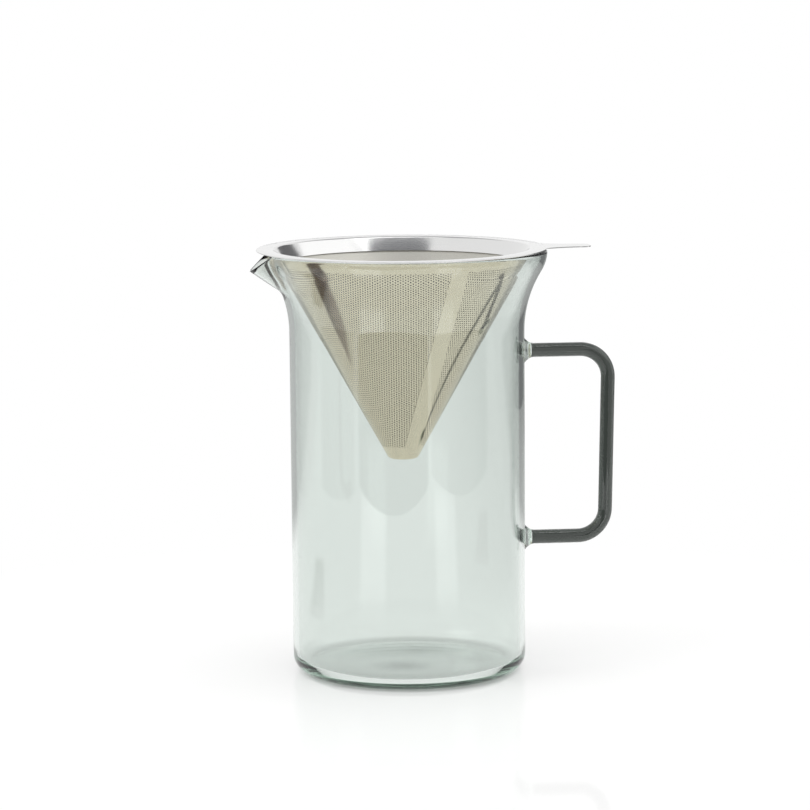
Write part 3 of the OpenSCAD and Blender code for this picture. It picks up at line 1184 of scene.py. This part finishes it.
world = bpy.context.scene.world or bpy.data.worlds.new("studio")
bpy.context.scene.world = world
world.use_nodes = True
background = world.node_tree.nodes["Background"]
background.inputs["Color"].default_value = WHITE
world_rays = add_node(world, "LightPath").outputs
world_seen = calculate(world, "MAXIMUM", world_rays["Is Camera Ray"], world_rays["Is Glossy Ray"])
world_seen = calculate(world, "MAXIMUM", world_seen, world_rays["Is Transmission Ray"])
world_level = ramp(world, world_seen, 0.0, 1.0, LIGHT_LEVEL, 1.0)
link(world, world_level, background.inputs["Strength"])


def add_lamp(name, place, aim, width, height, power):
    """A soft box of light, turned towards its aim."""
    bpy.ops.object.light_add(type="AREA", location=place)
    lamp = bpy.context.object
    lamp.name = name
    lamp.data.shape = "RECTANGLE"
    lamp.data.size = width
    lamp.data.size_y = height
    lamp.data.energy = power
    lamp.rotation_euler = (Vector(aim) - Vector(place)).to_track_quat("-Z", "Y").to_euler()
    print(name, "gives", power, "W over", width, "by", height, "m")
    return lamp


add_lamp("top_box", (0.2, -0.1, 1.5), (0, 0, 0.08), 1.4, 1.4, 8.5)
left_box = add_lamp("left_box", (-1.3, -0.5, 0.9), (0, 0, 0.1), 0.8, 1.2, 7)
left_box.visible_glossy = False

# %% Raise the limits for bounces
bounces = bpy.context.scene.cycles
bounces.max_bounces = 32
bounces.glossy_bounces = 24
bounces.transmission_bounces = 24
bounces.transparent_max_bounces = 16
print("The most bounces of one ray:", bounces.max_bounces)

# %% [markdown]
# ## The cards
#
# A photographer shapes glass and steel with cards: plain boards, dark or
# bright, which stand outside the picture and show in what mirrors them. Real
# boards would also shade the table, but these show to mirrored rays alone. A
# ray that has crossed many glass walls, or has been mirrored often, would
# paint the thick corner of the floor in patches, so a card has a limit for
# both. As on the table, X runs to the camera's right and Y away from it.

# %% Helpers for the cards
ROUND = Matrix.Rotation(CAMERA_ROUND, 4, "Z")


def card_finish(name, colour, most_glass, most_mirrors):
    """Even colour for rays that a surface has mirrored, and nothing at all for others.
    Rays that have met more glass surfaces or mirrors than the given numbers miss the card."""
    material = bpy.data.materials.new(name)
    material.use_nodes = True
    card_rays = add_node(material, "LightPath").outputs
    shown = calculate(material, "GREATER_THAN", card_rays["Glossy Depth"], 0.5)
    for count, most in (("Transmission Depth", most_glass), ("Glossy Depth", most_mirrors)):
        few = calculate(material, "LESS_THAN", card_rays[count], most + 0.5)
        shown = calculate(material, "MULTIPLY", shown, few)
    clear = add_node(material, "BsdfTransparent").outputs["BSDF"]
    even = add_node(material, "Emission", Color=(*colour, 1)).outputs["Emission"]
    mix_surface(material, shown, clear, even)
    return material


def add_card(name, place, aim, width, height, colour, most_glass=4, most_mirrors=8):
    """A flat card at a place, turned towards its aim."""
    bpy.ops.mesh.primitive_plane_add(size=1)
    card = bpy.context.object
    card.name = card.data.name = name
    card.scale = (width, height, 1)
    card.location = ROUND @ Vector(place)
    card.rotation_euler = (ROUND @ Vector(aim) - card.location).to_track_quat("Z", "Y").to_euler()
    card.visible_camera = False
    card.visible_diffuse = False
    card.visible_shadow = False
    wear(card, card_finish(name, colour, most_glass, most_mirrors))


def low_card(name, bearing, distance, width, height, grey):
    """An upright card on the table, at a bearing in degrees from the camera's side of the jug,
    positive to the right. It shows only in the first wall of glass."""
    turn = radians(bearing)
    place = (distance * sin(turn), -distance * cos(turn), height / 2)
    add_card(
        name, place, (0, 0, height / 2), width, height, (grey, grey, grey), most_glass=2, most_mirrors=1
    )


# %% Stand the low cards, for the jug's soft upright veils
low_card("front_card", -14, 0.474, 0.62, 0.13, 0.03)
low_card("left_card", -71, 0.51, 0.36, 0.30, 0.5)
low_card("right_card", 52, 0.53, 0.60, 0.30, 0.45)

# %% Stand the high cards, which shape the steel and the mouth
COLLAR = (0, 0, 0.18)

add_card(
    "back_right_card", (0.497, 0.637, 0.28), (0, 0, 0.28), 0.527, 0.56, (0.16, 0.16, 0.165), most_mirrors=1
)
add_card("bright_right_card", (0.912, -0.112, 0.771), COLLAR, 1.50, 0.75, (1.35, 1.35, 1.35))
add_card("high_card", (0.037, -0.615, 0.968), COLLAR, 0.86, 0.36, (0.20, 0.205, 0.215), most_mirrors=2)
add_card("ceiling_card", (0, 0.45, 1.2), (0, 0.45, 0), 1.6, 1.3, (0.55, 0.55, 0.56), most_mirrors=1)

# %% [markdown]
# ## The colour view
#
# The dressed part must fill the same box as the solids. The Standard view
# shows the colours as they are written.

bpy.context.scene.view_settings.view_transform = "Standard"
